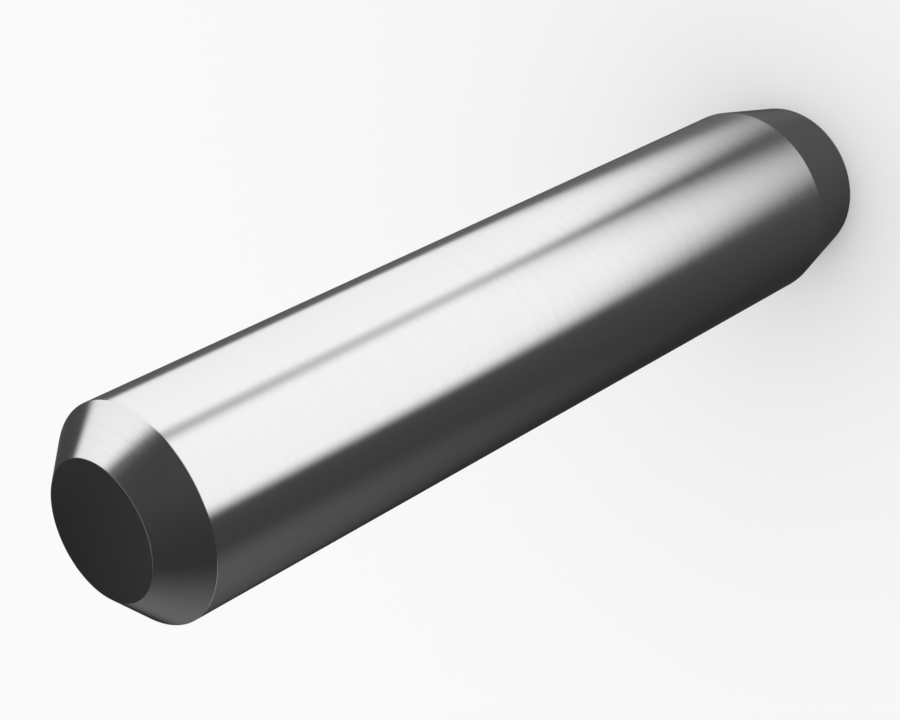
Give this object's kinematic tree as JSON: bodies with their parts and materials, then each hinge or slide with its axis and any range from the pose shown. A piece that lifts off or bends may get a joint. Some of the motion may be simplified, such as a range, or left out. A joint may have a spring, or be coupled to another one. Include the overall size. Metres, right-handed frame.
{
  "type": "taperlock stud",
  "caption": "Plain round steel stud, chamfered on one end and tapered on the other to lock in its hole.",
  "frame": {"origin": "centre of the tapered end's flat face, on which the stud stands", "axes": "+Z along the stud's axis, from the tapered end to the chamfered end; X and Y are any two across it"},
  "size_m": [0.01, 0.01, 0.048],
  "materials": {
    "steel": "bright ground shank, turned chamfer, taper and end faces"
  },
  "bodies": {
    "root": {"stud": "steel"}
  },
  "joints": []
}
